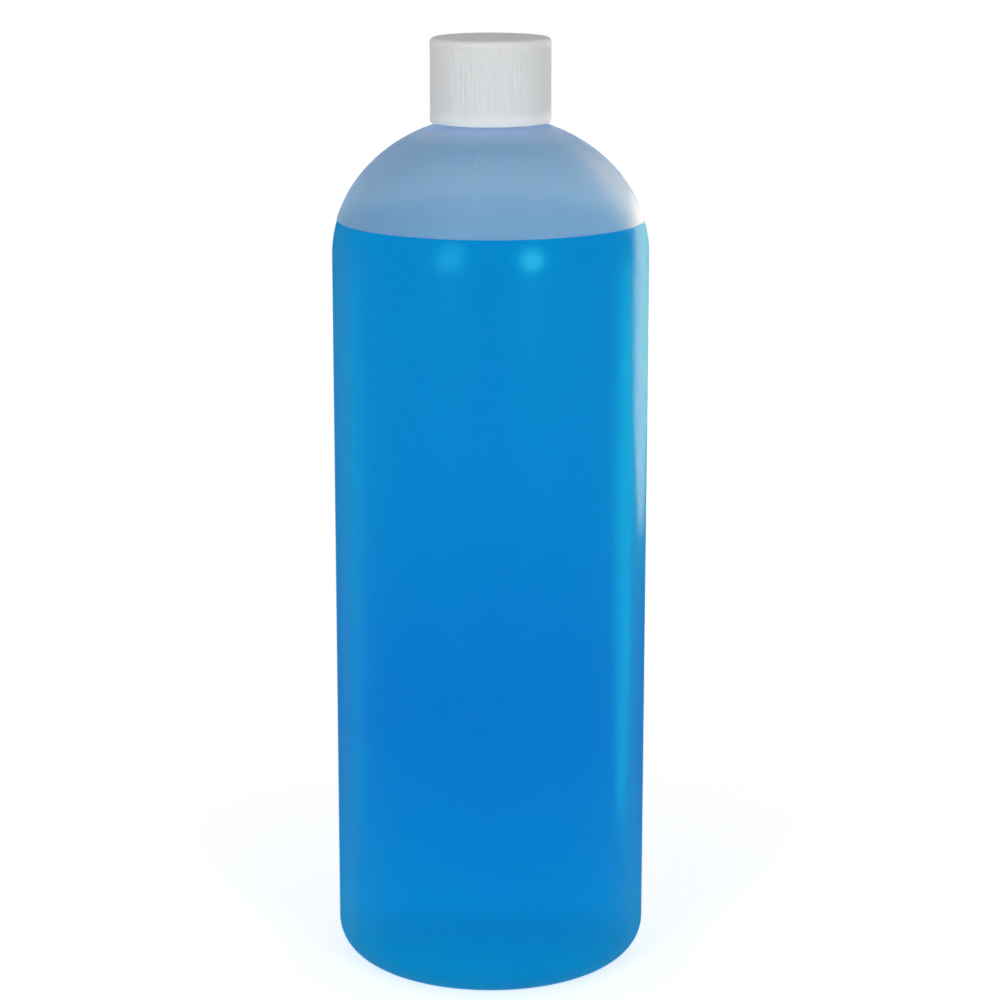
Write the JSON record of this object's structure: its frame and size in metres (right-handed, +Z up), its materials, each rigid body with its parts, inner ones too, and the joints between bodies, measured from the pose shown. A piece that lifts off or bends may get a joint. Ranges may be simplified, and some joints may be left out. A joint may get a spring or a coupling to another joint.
{
  "type": "round bottle",
  "caption": "Round blow-moulded bottle with a domed shoulder, filled with blue liquid, closed by a ribbed screw cap that turns, rises and comes off.",
  "frame": {"origin": "middle of the standing ring, on the floor", "axes": "+Z up along the bottle's axis; -Y is the front that the picture shows, +X is to the right there"},
  "size_m": [0.08, 0.08, 0.2384],
  "materials": {
    "bottle_plastic": "natural milky polyethylene, satin",
    "blue_liquid": "clear blue dyed water-based liquid",
    "liner_foam": "white polyethylene foam",
    "cap_plastic": "white polypropylene, matt"
  },
  "bodies": {
    "bottle": {"bottle": "bottle_plastic", "liquid": "blue_liquid"},
    "liner": {"cap_liner": "liner_foam"},
    "cap": {"screw_cap": "cap_plastic"}
  },
  "joints": [
    {"name": "cap_lift", "type": "slide", "parent": "bottle", "child": "liner", "axis": [0, 0, 1], "range_m": [0, 0.02117]},
    {"name": "cap_turn", "type": "hinge", "parent": "liner", "child": "cap", "pos_m": [0, 0, 0.228], "axis": [0, 0, 1], "range_deg": [0, 1800]}
  ],
  "couplings": [
    {"joint": "cap_lift", "follows": "cap_turn", "m_per_rad": 0.0006737}
  ]
}
